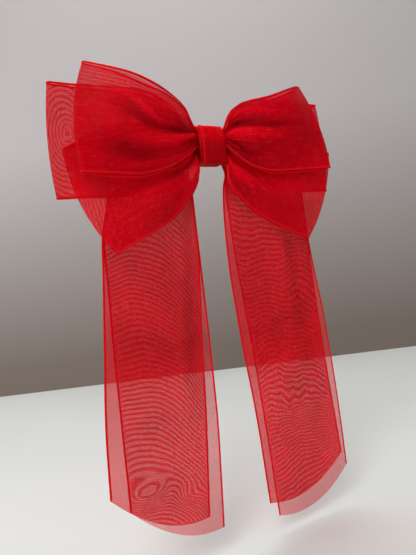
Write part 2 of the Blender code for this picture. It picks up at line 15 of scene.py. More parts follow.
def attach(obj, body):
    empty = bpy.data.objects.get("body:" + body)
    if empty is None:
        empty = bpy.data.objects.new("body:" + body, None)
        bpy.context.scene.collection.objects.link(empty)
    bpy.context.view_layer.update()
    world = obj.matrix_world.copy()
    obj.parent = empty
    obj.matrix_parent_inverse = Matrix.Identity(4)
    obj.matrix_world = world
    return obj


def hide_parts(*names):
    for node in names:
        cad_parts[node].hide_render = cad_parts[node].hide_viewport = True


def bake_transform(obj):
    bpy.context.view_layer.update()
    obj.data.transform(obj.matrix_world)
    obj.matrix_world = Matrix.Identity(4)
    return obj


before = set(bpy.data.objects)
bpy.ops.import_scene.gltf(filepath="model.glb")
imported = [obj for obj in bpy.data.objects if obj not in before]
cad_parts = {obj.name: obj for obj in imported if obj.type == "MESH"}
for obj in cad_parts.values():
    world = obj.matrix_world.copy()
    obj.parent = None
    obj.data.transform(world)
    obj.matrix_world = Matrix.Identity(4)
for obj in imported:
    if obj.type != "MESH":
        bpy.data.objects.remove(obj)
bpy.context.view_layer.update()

MM = 0.001
RIBBON_WIDTH = 63.0
FOLD_RADIUS = 1.5
SELVAGE_HALF = 0.65        # half width of the woven edge cord
SELVAGE_THICK = 0.27       # half thickness of it
SELVAGE_INSET = 0.3        # how far its middle lies in from the edge
SELVAGE_SIDES = 10
Y_TAIL_REAR, Y_TAIL_FRONT = -10.7, -12.1
Y_REAR_BACK, Y_REAR_FRONT = -13.5, -14.9
Y_LOWER_BACK, Y_LOWER_FRONT = -16.3, -17.7
Y_UPPER_BACK, Y_UPPER_FRONT = -19.1, -20.5
COLLECTION = bpy.context.scene.collection


# ---- camera
CAMERA_PLACE = Vector((-0.1508, -0.2733, -0.0808))
YAW, PITCH, ROLL = (math.radians(angle) for angle in (28.5, -0.4, -7.0))
CAMERA_AHEAD = Vector((math.sin(YAW) * math.cos(PITCH), math.cos(YAW) * math.cos(PITCH), math.sin(PITCH)))
SENSOR = 36.0
FOCAL_SHARE = 0.835856      # focal length as a share of the picture's long side


def make_camera():
    level = Vector((math.cos(YAW), -math.sin(YAW), 0.0))
    upward = level.cross(CAMERA_AHEAD)
    right = math.cos(ROLL) * level + math.sin(ROLL) * upward
    top = -math.sin(ROLL) * level + math.cos(ROLL) * upward
    axes = (right, top, -CAMERA_AHEAD, CAMERA_PLACE)
    data = bpy.data.cameras.new("camera")
    data.sensor_width = SENSOR
    data.lens = FOCAL_SHARE * SENSOR
    data.clip_start = 0.01
    made = bpy.data.objects.new("camera", data)
    made.matrix_world = Matrix([[axis[i] for axis in axes] for i in range(3)] + [[0, 0, 0, 1]])
    COLLECTION.objects.link(made)
    bpy.context.scene.camera = made


make_camera()


# ---- node helpers
class Paint:
    """A node material with short calls for the nodes used here."""

    def __init__(self, name):
        self.material = bpy.data.materials.new(name)
        self.material.use_nodes = True
        self.tree = self.material.node_tree
        self.tree.nodes.clear()

    def node(self, kind, inputs=(), **settings):
        made = self.tree.nodes.new("ShaderNode" + kind)
        for key, value in settings.items():
            setattr(made, key, value)
        for key, value in dict(inputs).items():
            self.put(made.inputs[key], value)
        return made

    def out(self, kind, inputs=(), **settings):
        return self.node(kind, inputs, **settings).outputs[0]

    def put(self, socket, value):
        if isinstance(value, bpy.types.NodeSocket):
            self.tree.links.new(value, socket)
        else:
            socket.default_value = (*value, 1.0) if socket.type == "RGBA" else value

    def math(self, operation, *values, clamp=False):
        made = self.tree.nodes.new("ShaderNodeMath")
        made.operation = operation
        made.use_clamp = clamp
        for socket, value in zip(made.inputs, values):
            self.put(socket, value)
        return made.outputs[0]

    def times(self, a, b, clamp=False):
        return self.math("MULTIPLY", a, b, clamp=clamp)

    def scaled(self, value, factor, added):
        """value * factor + added."""
        return self.math("MULTIPLY_ADD", value, factor, added)

    def attribute(self, name):
        read = self.node("Attribute", attribute_name=name)
        parts = self.node("SeparateXYZ", {"Vector": read.outputs["Vector"]})
        return parts.outputs[0], parts.outputs[1], parts.outputs[2]

    def position(self, scale):
        """Object coordinates, stretched by scale."""
        read = self.node("TexCoord")
        return self.out("Mapping", {"Vector": read.outputs["Object"], "Scale": scale})

    def combine(self, x, y, z=0.0):
        return self.out("CombineXYZ", {"X": x, "Y": y, "Z": z})

    def noise(self, vector, scale, detail=2.0, roughness=0.5):
        return self.node("TexNoise", {"Vector": vector, "Scale": scale, "Detail": detail,
                                      "Roughness": roughness}).outputs["Fac"]

    def ramp(self, value, low, high, start=0.3, end=0.7):
        """low at or below start, high at or above end: by default, where most of a noise lies."""
        return self.out("MapRange", {"Value": value, "From Min": start, "From Max": end,
                                     "To Min": low, "To Max": high})

    def mix(self, amount, a, b):
        made = self.node("Mix", data_type="RGBA")
        self.put(made.inputs[0], amount)
        self.put(made.inputs[6], a)
        self.put(made.inputs[7], b)
        return made.outputs[2]

    def wave(self, value, pitch):
        """0 to 1 and back once every pitch."""
        turn = self.times(value, 2 * math.pi / pitch)
        return self.scaled(self.math("COSINE", turn), 0.5, 0.5)

    def bump(self, height, distance, strength):
        return self.out("Bump", {"Height": height, "Distance": distance, "Strength": strength})

    def finish(self, shader):
        out = self.node("OutputMaterial")
        self.tree.links.new(shader, out.inputs["Surface"])
        return self.material


# ---- materials
IN_MM = (1000.0, 1000.0, 1000.0)
THREAD_PITCH = 0.5
WEFT_PITCH = 1.06 * THREAD_PITCH
GAP_SWING = 0.85            # how much more open the weave is between threads than on them
THROUGH = 0.52              # share of the light that passes through a thread
SELVAGE_THROUGH = 0.3
# pale pink painted into the organza's colour as highlights of sheen
GLINT = (1.0, 0.075, 0.11)


def organza(name, light, dark, open_share, sheen):
    """Sheer plain weave: the gaps between threads are see-through.

    Attribute ribbon holds the place on the flat ribbon (across, along, in mm)
    and how many plain layers' worth of light the cloth hides.  Attribute moire
    holds the phase and strength of the watered rings that two layers make
    together, and how much finer than plain the threads are drawn.  Attribute
    fold holds the shade or light painted into the colour, from -1 (painted
    shade, as in a valley, where the cloth also hides more light) to 1 (painted
    light, as on a ridge), and how uneven its colour is.
    """
    p = Paint(name)
    across, along, hiding = p.attribute("ribbon")
    phase, strength, finer = p.attribute("moire")
    fold, grain, _ = p.attribute("fold")
    flat = p.combine(across, along)

    drift = p.noise(flat, 0.06, 2.0)
    warp = p.wave(p.times(p.scaled(drift, 0.5, across), finer), THREAD_PITCH)
    weft = p.wave(p.times(p.scaled(drift, -0.5, along), finer), WEFT_PITCH)
    open_warp, open_weft = (p.scaled(threads, -GAP_SWING, 0.5 + GAP_SWING / 2) for threads in (warp, weft))
    ringed = p.times(p.scaled(p.wave(phase, 1.0), 2.0, -1.0), strength)
    slub = p.noise(p.combine(p.times(across, 0.12), p.times(along, 2.2)), 1.0, 3.0, 0.6)
    streaked = p.times(p.scaled(ringed, 0.62, 1.0), p.ramp(slub, 0.93, 1.07))
    clear = p.times(p.times(p.times(open_warp, open_weft), 4.0 * open_share), streaked, clamp=True)
    # the painted shade of attribute fold also makes the cloth hide more light, and its painted light less
    more_layers = p.math("SUBTRACT", p.times(hiding, p.scaled(fold, -0.3, 1.0)), 1.0)
    clear = p.times(clear, p.math("POWER", open_share, more_layers), clamp=True)
    cover = p.math("SUBTRACT", 1.0, clear, clamp=True)

    cloud = p.noise(flat, 0.035, 3.0, 0.6)
    shade = p.math("ADD", p.times(cloud, 0.55), p.times(slub, 0.45))
    mottle = p.noise(p.combine(p.times(across, 0.6), along), 0.65, 3.0, 0.65)
    glint = p.noise(p.combine(p.times(across, 0.5), p.times(along, 0.15)), 1.0, 5.0, 0.7)
    colour = p.mix(p.ramp(shade, 0.0, 1.0, 0.35, 0.65), dark, light)
    # painted highlights: pale pink streaks of sheen mixed into the colour
    colour = p.mix(p.ramp(glint, 0.0, 0.42, 0.53, 0.73), colour, GLINT)
    # painted shade and light: attribute fold scales the colour from 0.3 (painted shade) to 1.17 (painted
    # light)
    depth = p.times(p.ramp(fold, 0.3, 1.17, -1.0, 0.5), p.scaled(ringed, 0.05, 1.0))
    depth = p.times(depth, p.scaled(p.ramp(mottle, -0.16, 0.16), grain, 1.0))
    colour = p.out("VectorMath", {0: colour, 1: p.combine(depth, depth, depth)}, operation="MULTIPLY")
    normal = p.bump(p.math("MAXIMUM", warp, weft), 0.00005, 0.35)
    face = p.out("BsdfPrincipled", {
        "Base Color": colour, "Roughness": p.ramp(p.noise(flat, 0.5, 2.0), 0.34, 0.52),
        "Normal": normal, "Specular IOR Level": 0.03,
        "Sheen Weight": p.times(p.ramp(mottle, 0.0, 1.0, 0.42, 0.7), sheen), "Sheen Roughness": 0.35,
        "Sheen Tint": (1.0, 0.42, 0.5)})
    through = p.out("BsdfTranslucent", {"Color": colour, "Normal": normal})
    cloth = p.out("MixShader", {0: THROUGH, 1: face, 2: through})
    return p.finish(p.out("MixShader", {0: cover, 1: p.out("BsdfTransparent"), 2: cloth}))


def selvage_paint(name):
    """Dense ribbed edge: attribute ribbon holds the place round and along the cord."""
    p = Paint(name)
    around, along, _ = p.attribute("ribbon")
    rib = p.wave(p.scaled(around, 0.25, along), 1.25)
    fleck = p.noise(p.combine(around, along), 1.4, 3.0, 0.6)
    amount = p.math("ADD", p.times(rib, 0.6), p.times(fleck, 0.4))
    colour = p.mix(amount, (0.66, 0.0012, 0.006), (1.0, 0.008, 0.018))
    normal = p.bump(rib, 0.00009, 0.6)
    face = p.out("BsdfPrincipled", {
        "Base Color": colour, "Roughness": p.ramp(fleck, 0.3, 0.5), "Normal": normal,
        "Specular IOR Level": 0.05, "Sheen Weight": 0.01, "Sheen Roughness": 0.4,
        "Sheen Tint": (1.0, 0.5, 0.55)})
    through = p.out("BsdfTranslucent", {"Color": colour})
    return p.finish(p.out("MixShader", {0: SELVAGE_THROUGH, 1: face, 2: through}))


def thread_paint(name):
    p = Paint(name)
    around, along, _ = p.attribute("ribbon")
    ply = p.wave(p.scaled(around, 1.0, p.times(along, 1.6)), 1.0)
    fibre = p.noise(p.combine(around, along), 3.0, 4.0, 0.65)
    colour = p.mix(p.times(ply, fibre), (0.2, 0.001, 0.004), (0.62, 0.006, 0.014))
    normal = p.bump(p.math("ADD", ply, fibre), 0.00004, 0.5)
    face = p.out("BsdfPrincipled", {"Base Color": colour, "Normal": normal,
                                     "Roughness": p.ramp(fibre, 0.5, 0.75)})
    return p.finish(face)


def felt_paint(name):
    p = Paint(name)
    place = p.position(IN_MM)
    fuzz = p.noise(place, 2.6, 6.0, 0.7)
    matted = p.noise(place, 0.35, 3.0, 0.6)
    hairs = p.out("TexVoronoi", {"Vector": place, "Scale": 1.7}, feature="DISTANCE_TO_EDGE")
    amount = p.math("ADD", p.times(fuzz, 0.6), p.times(matted, 0.4))
    colour = p.mix(p.ramp(amount, 0.0, 1.0), (0.2, 0.002, 0.006), (0.46, 0.008, 0.017))
    normal = p.bump(p.scaled(fuzz, 1.0, p.times(hairs, 0.5)), 0.0003, 0.7)
    face = p.out("BsdfPrincipled", {
        "Base Color": colour, "Roughness": p.ramp(fuzz, 0.82, 1.0), "Normal": normal,
        "Sheen Weight": 0.5, "Sheen Roughness": 0.6, "Sheen Tint": (1.0, 0.45, 0.45)})
    return p.finish(face)


def metal_paint(name, light, dark, stretch, rough):
    """Plated steel, brushed along its length, with worn and dulled patches."""
    p = Paint(name)
    lines = p.noise(p.position(stretch), 1.0, 4.0, 0.7)
    haze = p.noise(p.position(IN_MM), 0.16, 4.0, 0.6)
    specks = p.noise(p.position(IN_MM), 1.9, 2.0, 0.5)
    worn = p.times(p.ramp(specks, 0.0, 1.0, 0.62, 0.74), p.ramp(haze, 0.0, 1.0, 0.45, 0.65))
    colour = p.mix(p.ramp(lines, 0.0, 1.0), dark, light)
    colour = p.mix(p.times(worn, 0.6), colour, (0.22, 0.2, 0.18))
    gloss = p.math("ADD", p.ramp(lines, rough - 0.07, rough + 0.07),
                   p.times(p.math("ADD", haze, worn), 0.12))
    face = p.out("BsdfPrincipled", {
        "Base Color": colour, "Metallic": 1.0, "Roughness": gloss,
        "Normal": p.bump(p.scaled(worn, -0.5, lines), 0.00004, 0.35)})
    return p.finish(face)


ORGANZA = organza("red_organza", (1.0, 0.0018, 0.022), (0.7, 0.001, 0.009), 0.33, 0.06)
WRAP_ORGANZA = organza("wrap_organza", (0.95, 0.0025, 0.015), (0.72, 0.0015, 0.009), 0.16, 0.08)
SELVAGE = selvage_paint("woven_selvage")
THREAD = thread_paint("red_thread")
FELT = felt_paint("red_felt")
NICKEL = metal_paint("nickel_steel", (0.78, 0.77, 0.75), (0.6, 0.59, 0.57), (90.0, 2500.0, 2500.0), 0.26)
SPRING = metal_paint("spring_steel", (0.6, 0.61, 0.63), (0.42, 0.43, 0.46), (110.0, 2200.0, 2200.0), 0.32)


# ---- mesh helpers
def grid_faces(rows, columns, closed=False):
    """Quads of a grid of rows x columns points, as an array."""
    i = np.arange(rows if closed else rows - 1)
    j = np.arange(columns - 1)
    i, j = (g.ravel() for g in np.meshgrid(i, j, indexing="ij"))
    k = (i + 1) % rows
    return np.stack([i * columns + j, k * columns + j, k * columns + j + 1, i * columns + j + 1], 1)


def store(mesh, name, values):
    layer_data = mesh.attributes.new(name, "FLOAT_VECTOR", "POINT")
    layer_data.data.foreach_set("vector", np.ascontiguousarray(values, np.float32).ravel())


def mesh_piece(name, points, faces, material, ribbon=None, moire=None, fold=None, grain=1.0):
    """A smooth-shaded mesh from points in millimetres.  ribbon, moire, fold and grain are for organza."""
    mesh = bpy.data.meshes.new(name)
    mesh.from_pydata((np.asarray(points, float).reshape(-1, 3) * MM).tolist(), [], np.asarray(faces).tolist())
    mesh.polygons.foreach_set("use_smooth", [True] * len(mesh.polygons))
    mesh.materials.append(material)
    if ribbon is not None:
        store(mesh, "ribbon", ribbon)
    if moire is not None:
        store(mesh, "moire", moire)
    # fold is the shade and light painted into the organza's colour; grain is how uneven its colour is
    if fold is not None:
        painted_shading = np.clip(fold, -1, 1).ravel()
        store(mesh, "fold", np.stack([painted_shading, np.full_like(painted_shading, grain), np.zeros_like(painted_shading)], 1))
    mesh.update()
    made = bpy.data.objects.new(name, mesh)
    COLLECTION.objects.link(made)
    return made


def unit(rows):
    """Each vector of the last axis at length 1."""
    return rows / np.linalg.norm(rows, axis=-1, keepdims=True)


def triples(a, b, c):
    """Vectors of three numbers from three arrays that broadcast together."""
    return np.stack(np.broadcast_arrays(a, b, c), -1)


def lengths_along(path):
    """Distance from the first point to each point of a polyline."""
    return np.concatenate([[0.0], np.cumsum(np.linalg.norm(np.diff(path, axis=0), axis=1))])


def smooth_through(points):
    """A smooth curve through the points, taking fractions of its length."""
    knots = np.array(points, float)
    along = lengths_along(knots)
    along /= along[-1]
    slopes = np.gradient(knots, along, axis=0)

    def at(u):
        u = np.clip(np.atleast_1d(u), 0.0, 1.0)
        i = np.clip(np.searchsorted(along, u, side="right") - 1, 0, len(along) - 2)
        span = (along[i + 1] - along[i])[:, None]
        f = (u[:, None] - along[i][:, None]) / span
        return ((2 * f**3 - 3 * f**2 + 1) * knots[i] + (f**3 - 2 * f**2 + f) * slopes[i] * span
                + (-2 * f**3 + 3 * f**2) * knots[i + 1] + (f**3 - f**2) * slopes[i + 1] * span)

    return at


def hump(u, peak, width):
    """1 at the peak, falling smoothly to 0 at a distance of width."""
    return 0.5 + 0.5 * np.cos(np.pi * np.minimum(np.abs(u - peak) / width, 1.0))


def rise(value, start, end):
    """0 before start, 1 after end, smooth between them."""
    f = np.clip((value - start) / (end - start), 0.0, 1.0)
    return f * f * (3 - 2 * f)


def wander(x, y, seed, scale):
    """Smooth seeded noise over a plane, mostly within -1 to 1."""
    dice = np.random.default_rng(seed)
    total = 0.0
    for _ in range(7):
        heading = dice.uniform(0, 2 * np.pi)
        length = scale * dice.uniform(0.7, 1.7)
        turn = dice.uniform(0, 2 * np.pi)
        total = total + np.sin(2 * np.pi * (x * np.cos(heading) + y * np.sin(heading)) / length + turn)
    return total / 3.2


# ---- edges
def tubes(name, routes, sides, material, per_radian, closed=False):
    """One piece of tubes, with the place round and along each in attribute ribbon.

    routes are (centres, across, through, along): the points down the middle of
    a tube, its two half axes at each, and how far along it each lies.
    """
    points, faces, ribbon, start = [], [], [], 0
    turns = 2 * np.pi * np.arange(sides + 1) / sides
    for centres, across, through, along in routes:
        ring = (centres[:, None] + across[:, None] * np.cos(turns)[None, :, None]
                + through[:, None] * np.sin(turns)[None, :, None])
        ring[:, -1] = ring[:, 0]
        points.append(ring)
        faces.append(grid_faces(len(ring), sides + 1, closed) + start)
        ribbon.append(triples(turns[None] * per_radian, along[:, None], 1.0))
        start += len(ring) * (sides + 1)
    return mesh_piece(name, np.concatenate(points), np.concatenate(faces), material, np.concatenate(ribbon))


def edge_cords(name, edges, closed):
    """The woven selvages of one sheet: flat oval cords laid along its edges.

    edges are (path, inward) pairs: the edge's points and, at each, the
    direction into the cloth.
    """
    routes = []
    for path, inward in edges:
        ahead = unit(np.roll(path, -1, 0) - np.roll(path, 1, 0) if closed else np.gradient(path, axis=0))
        inward = unit(inward - ahead * np.sum(inward * ahead, 1)[:, None])
        along = lengths_along(path)
        wobble = (1 + 0.05 * np.sin(along * 2.1) + 0.04 * np.sin(along * 0.83 + 1.0))[:, None]
        routes.append((path + inward * SELVAGE_INSET, inward * (SELVAGE_HALF * wobble),
                       np.cross(ahead, inward) * (SELVAGE_THICK * wobble), along))
    return tubes(name, routes, SELVAGE_SIDES, SELVAGE, 0.4, closed)


def both_edges(grid):
    """The two long edges of a sheet, for edge_cords."""
    return [(grid[:, 0], grid[:, 1] - grid[:, 0]), (grid[:, -1], grid[:, -2] - grid[:, -1])]


def declare_ribbon(node):
    """Hides the CAD solid that a sheet of ribbon and its selvages stand for."""
    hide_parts(node)


# ---- loops
def layer(depth, top, bottom, bow_out=0.0, bulge=0.0, bulge_at=0.0, bulge_wide=1.0, pleat=0.0,
          folds=2.5, turn=0.0, puff=0.0, puff_top=2.0, creases=(), painted_shades=()):
    """One ribbon layer of a loop, from the middle of the knot (u=0) to the fold (u=1).

    top and bottom are its edges' points as (x, y, z), or as (x, z) in the knot,
    where y is depth.  t runs from -1 at the bottom to 1 at the top.  bow_out
    rounds the fold outward, bulge swells the middle of the loop forward, and
    pleat is the height of its broad waves, which also get painted shade and
    painted light along them.  puff pushes the cloth forward where it comes out
    of the wrap, below the t of puff_top.  creases are valleys, or ridges if
    their depth is negative: (depth, half width in t, points of (u, t, share of
    the depth)); each also paints shade into its valley or light onto its
    ridge.  Shades are painted shade, or painted light if negative: they only
    darken or lighten the cloth's colour, and are given in the same way.
    """
    upper, lower = (smooth_through([p if len(p) == 3 else (p[0], depth, p[1]) for p in edge])
                    for edge in (top, bottom))
    across = unit((upper(1.0) - lower(1.0))[0, [0, 2]])
    out = np.array([across[1], 0.0, -across[0]])

    def at(u, t):
        """The points, and the painted shade (below 0) or painted light (above 0) at each."""
        u, t = np.atleast_1d(u).astype(float), np.atleast_1d(t).astype(float)
        a, b = lower(u)[:, None], upper(u)[:, None]
        point = a + (b - a) * ((t + 1) / 2)[None, :, None]
        u, t = u[:, None], t[None]
        point = point + out * (bow_out * u**3 * (1 - t * t))[..., None]
        open_out = np.clip((u - 0.14) / 0.8, 0.0, 1.0)
        point[..., 1] -= bulge * np.sin(np.pi * open_out) ** 1.5 * hump(t, bulge_at, bulge_wide)
        wave = np.cos(np.pi * folds * t + turn) * (1 - 0.3 * t * t)
        point[..., 1] -= pleat * hump(u, 0.4, 0.28) * wave
        point[..., 1] -= puff * rise(u, 0.1, 0.14) * (1 - rise(u, 0.25, 0.6)) * rise(puff_top - t, 0.0, 0.4)
        # painted shade and painted light that follow the pleat's waves
        painted_shading = 0.25 * hump(u, 0.4, 0.3) * wave * (pleat > 0)

        def within(half_wide, path):
            stops, middles, shares = np.array(path).T
            return np.interp(u, stops, shares) * hump(t, np.interp(u, stops, middles), half_wide)

        for deep, half_wide, path in creases:
            point[..., 1] += deep * within(half_wide, path)
            # each crease also paints shade into its valley, or light onto its ridge
            painted_shading = painted_shading - np.clip(deep / 2.5, -1, 1) * within(half_wide, path)
        # painted shade, or painted light where negative: colour only, no change of shape
        for dark, half_wide, path in painted_shades:
            painted_shading = painted_shading - dark * within(half_wide, path)
        return point, painted_shading

    return at


CRIMPS = 11.0               # tight folds across half the ribbon, in half waves


def crimps(u, t):
    """The tight folds that the thread pulls the ribbon into, at and near the knot."""
    u, t = np.atleast_1d(u)[:, None], np.atleast_1d(t)[None]
    amount = 0.55 * (1 - rise(u, 0.12, 0.3)) + 0.25 * rise(u, 0.1, 0.2) * (1 - rise(u, 0.2, 0.42))
    lean = 0.12 * np.sin(7.0 * u) + 0.07 * np.sin(5.3 * t + 2.0)
    return amount * np.sin(np.pi * CRIMPS * (t + lean) + 1.6 * np.sin(3.1 * t + 5.0 * u))


def gathers(u, t, depth, count, seed, side):
    """Fine pleats that fan out of the knot and die away along the loop."""
    dice = np.random.default_rng(seed + (100 if side < 0 else 0))
    turn = dice.uniform(0, 2 * np.pi, 4)
    u, t = np.atleast_1d(u)[:, None], np.atleast_1d(t)[None]
    near = rise(u, 0.1, 0.2) * (1 - rise(u, 0.22, 0.62))
    far = rise(u, 0.2, 0.45) * (1 - rise(u, 0.6, 0.97))
    lean = 0.35 * np.sin(3.0 * u + turn[2])
    fine = np.sin(np.pi * count * (t + lean * (u - 0.15)) + turn[0])
    fine = fine + 0.5 * np.sin(np.pi * 1.7 * count * t + turn[1])
    broad = np.sin(np.pi * 0.55 * count * (t + lean * u) + turn[3])
    broad = broad + 0.5 * np.sin(np.pi * 1.1 * t + 5 * u + turn[0])
    return depth * (near * fine + 0.45 * far * broad)


FRONT_DENSER = 1.22         # how much more of the light a front layer hides than a back one
FRONT_FINER = 1.53          # and how much finer its threads are drawn
TIGHTEST = 3.5              # most layers' worth of light that gathered cloth hides


def tightness(grid):
    """How many layers' worth of light the cloth hides at each station, by its width there."""
    tall = np.linalg.norm(np.diff(grid, axis=1), axis=2).sum(1)
    return np.clip(RIBBON_WIDTH / tall, 1.0, TIGHTEST)


def loop_pair(name, fronts, backs, outward, gather, fringe, denser, turned_in=0.0,
              steps=120, rows=100, cap=8):
    """One strip of ribbon as an open sheet: both loops of a pair, pinched in the middle.

    fronts and backs hold the left loop's layer and the right loop's layer, and
    denser how much more of the light behind it each loop hides than plain cloth.
    turned_in makes the lower edge denser near the knot, where it's turned under.
    """
    fractions = (np.arange(steps + 1) / steps) ** 0.9       # stations a little closer near the fold
    heights = -1 + 2 * np.arange(rows + 1) / rows
    way = unit(np.array([outward[0], 0.0, outward[1]]))
    depth, count, seed = gather

    def side(sign):
        ripple = gathers(fractions, heights, depth, count, seed, sign) + crimps(fractions, heights)
        (fore, painted_shading), (aft, painted_shading_back) = (pair[sign > 0](fractions, heights) for pair in (fronts, backs))
        fore[..., 1] -= ripple
        aft[..., 1] -= ripple * 0.9
        # painted light on the crests of the gathers and crimps, painted shade in their hollows
        painted_shading, painted_shading_back = (np.broadcast_to(part + 0.4 * ripple, ripple.shape) for part in (painted_shading, painted_shading_back))
        fold_front, fold_back = fore[-1], aft[-1]
        middle = (fold_front + fold_back) / 2
        half = (fold_back[:, 1] - fold_front[:, 1]) / 2
        forward = np.array([0.0, -1.0, 0.0])
        round_fold = [middle + way * FOLD_RADIUS * math.sin(turn) + forward * (half * math.cos(turn))[:, None]
                      for turn in np.pi * np.arange(1, cap) / cap]
        run = np.concatenate([fore, np.array(round_fold), aft[::-1]])
        run[..., 0] *= sign
        return run, np.concatenate([painted_shading, np.repeat(painted_shading[-1:], cap - 1, 0), painted_shading_back[::-1]])

    (right, right_fold), (left, left_fold) = side(1), side(-1)
    grid = np.concatenate([right[:-1], left[::-1][:-1]])
    fold = np.concatenate([right_fold[:-1], left_fold[::-1][:-1]])
    columns = len(grid)
    along = lengths_along(grid[:, rows // 2])
    tight = tightness(grid)
    across = RIBBON_WIDTH * (heights + 1) / 2
    phase, strength = fringe(grid, across[None], along[:, None])
    station = np.arange(columns)
    fore = np.minimum(station, columns - station) < steps + cap // 2
    finer = np.where(fore, FRONT_FINER, 1.0)[:, None]
    hiding = tight * np.where(fore, FRONT_DENSER, 1.0) * np.where(station < len(right), denser[1], denser[0])
    near_knot = 1 - rise(np.abs(grid[..., 0]), 24.0, 38.0)
    hiding = hiding[:, None] * (1 + turned_in * near_knot * hump(heights[None], -1.0, 0.35))
    cloth = mesh_piece(name + "_organza", grid, grid_faces(columns, rows + 1, True), ORGANZA,
                       triples(across[None], along[:, None], hiding),
                       triples(phase, strength * fore[:, None], finer), fold)
    cords = edge_cords(name + "_selvage", both_edges(grid), True)
    for piece in (cloth, cords):
        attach(piece, "bow")
    declare_ribbon(name + "_ribbon")


rear_front = layer(
    Y_REAR_FRONT,
    top=[(0, 8.7), (10.5, 9.6), (22, -15.5, 25.4), (30, -16.5, 30.2), (42, -17.5, 33.2), (58, -18, 33.4),
         (80, -17.5, 33), (94, -17.5, 33.2)],
    bottom=[(0, -8.7), (10.5, -9.6), (21, -15.6, -22), (31, -16.4, -27.5), (50, -17, -30), (74, -17, -30.5),
            (96, -16.4, -30.1)],
    bow_out=2.2, bulge=0.8)
rear_back = layer(
    Y_REAR_BACK,
    top=[(0, 8.7), (10.5, 9.6), (22, -13.7, 24.6), (30, -13.9, 29.2), (42, -14, 32), (58, -14.2, 32.4),
         (80, -14.3, 32.6), (94, -14.5, 33.2)],
    bottom=[(0, -8.7), (10.5, -9.6), (21, -13.9, -21), (31, -14.3, -26.2), (50, -14.5, -28.6),
            (74, -14.2, -29.6), (96, -13.4, -30.1)],
    bow_out=2.2)
LOWER_FRONT_TOP = [(0, 6), (10.5, 4), (25, -19.6, 12.5), (45, -22.4, 12.5), (70, -24.6, 6), (84, -26.2, -1),
                   (92.5, -26.8, -5.3)]
LOWER_BACK_TOP = [(0, 6), (10.5, 4), (25, -18.1, 11.5), (45, -20.3, 11.5), (70, -21.9, 5), (84, -23.2, -1.6),
                  (92.5, -23.8, -5.3)]
FRONT_FULLNESS = dict(bow_out=5.0, bulge=6.0, bulge_at=-0.55, bulge_wide=0.5, pleat=0.4, folds=2.0, turn=0.6,
                      puff_top=0.0)
lower_front_left = layer(
    Y_LOWER_FRONT, top=LOWER_FRONT_TOP,
    bottom=[(0, -9.2), (10.7, -9.6), (11.1, -19.6, -13), (11.6, -20.2, -16.6), (13, -20, -21),
            (15.4, -19.8, -25.6), (19.6, -19.9, -31.6), (25.4, -20.6, -38.4), (32, -21.4, -44.6),
            (43, -22.3, -50.8), (56.5, -23, -57.3), (69, -23.4, -62.6)],
    **FRONT_FULLNESS, puff=2.7,
    creases=(
        (2.6, 0.2, ((0.12, -0.25, 0), (0.16, -0.3, 1), (0.27, -0.38, 1), (0.41, -0.3, 0.9), (0.56, -0.2, 0.5),
            (0.75, -0.1, 0))),
        (-1.6, 0.2, ((0.13, -0.75, 0), (0.2, -0.8, 1), (0.35, -0.72, 0.8), (0.5, -0.6, 0)))),
    # painted light near the knot below the upper loop's edge, and over most of the loop
    painted_shades=(
        (-0.7, 0.5, ((0.1, -0.4, 0), (0.14, -0.4, 1), (0.35, -0.2, 0.8), (0.6, 0, 0))),
        (-0.35, 1.3, ((0.15, -0.2, 0), (0.35, -0.2, 1), (1, -0.2, 1)))))
lower_front_right = layer(
    Y_LOWER_FRONT, top=LOWER_FRONT_TOP,
    bottom=[(0, -9.2), (10.3, -9.6), (10.2, -18.6, -13.2), (9.5, -19.2, -17), (9, -19.3, -22),
            (10.6, -19.4, -27), (14.8, -19.7, -31.8), (22.2, -20.4, -39.2), (31, -21.2, -45.8),
            (42, -22.2, -52), (54, -22.9, -57.8), (67.8, -23.4, -63.8)],
    **FRONT_FULLNESS, puff=2.8,
    creases=(
        (2.6, 0.2, ((0.12, 0.3, 0), (0.17, 0.2, 1), (0.26, -0.13, 1), (0.38, -0.2, 0.9), (0.5, -0.3, 0.4),
            (0.65, -0.35, 0))),
        (-1.8, 0.2, ((0.12, -0.3, 0), (0.16, -0.38, 0.8), (0.3, -0.58, 1), (0.43, -0.52, 1),
            (0.56, -0.45, 0.6), (0.75, -0.4, 0)))),
    # painted light near the knot and across the middle, painted shade along the bottom edge
    painted_shades=(
        (-0.7, 0.5, ((0.1, -0.2, 0), (0.14, -0.2, 1), (0.35, -0.3, 0.8), (0.6, -0.3, 0))),
        (0.35, 0.35, ((0.15, -0.8, 0), (0.2, -0.8, 1), (0.4, -0.85, 0.8), (0.6, -0.9, 0))),
        (-0.5, 0.9, ((0.2, 0.1, 0), (0.35, 0.1, 1), (0.7, 0, 1), (1, 0, 0.2)))))
lower_back_left = layer(
    Y_LOWER_BACK, top=LOWER_BACK_TOP,
    bottom=[(0, -9.2), (10.7, -9.6), (10.7, -17.3, -13), (10.7, -17.6, -16.8), (11.4, -17.7, -21.2),
            (13.5, -17.8, -25.8), (17.7, -18, -31.8), (23.7, -18.4, -38.5), (30.5, -18.9, -44.7),
            (42.2, -19.6, -50.8), (55.8, -20.2, -57.2), (69, -20.4, -62.6)],
    bow_out=5.0, puff=2.5, puff_top=0.0)
lower_back_right = layer(
    Y_LOWER_BACK, top=LOWER_BACK_TOP,
    bottom=[(0, -9.2), (10.3, -9.6), (10.4, -17, -13.4), (10.2, -17.4, -17.4), (10.1, -17.5, -22.2),
            (11.7, -17.7, -27.2), (15.9, -18, -32.2), (23.3, -18.4, -39.4), (32, -19, -46),
            (43, -19.7, -52.2), (55, -20.2, -57.9), (67.8, -20.4, -63.8)],
    bow_out=5.0, puff=2.3, puff_top=0.0)
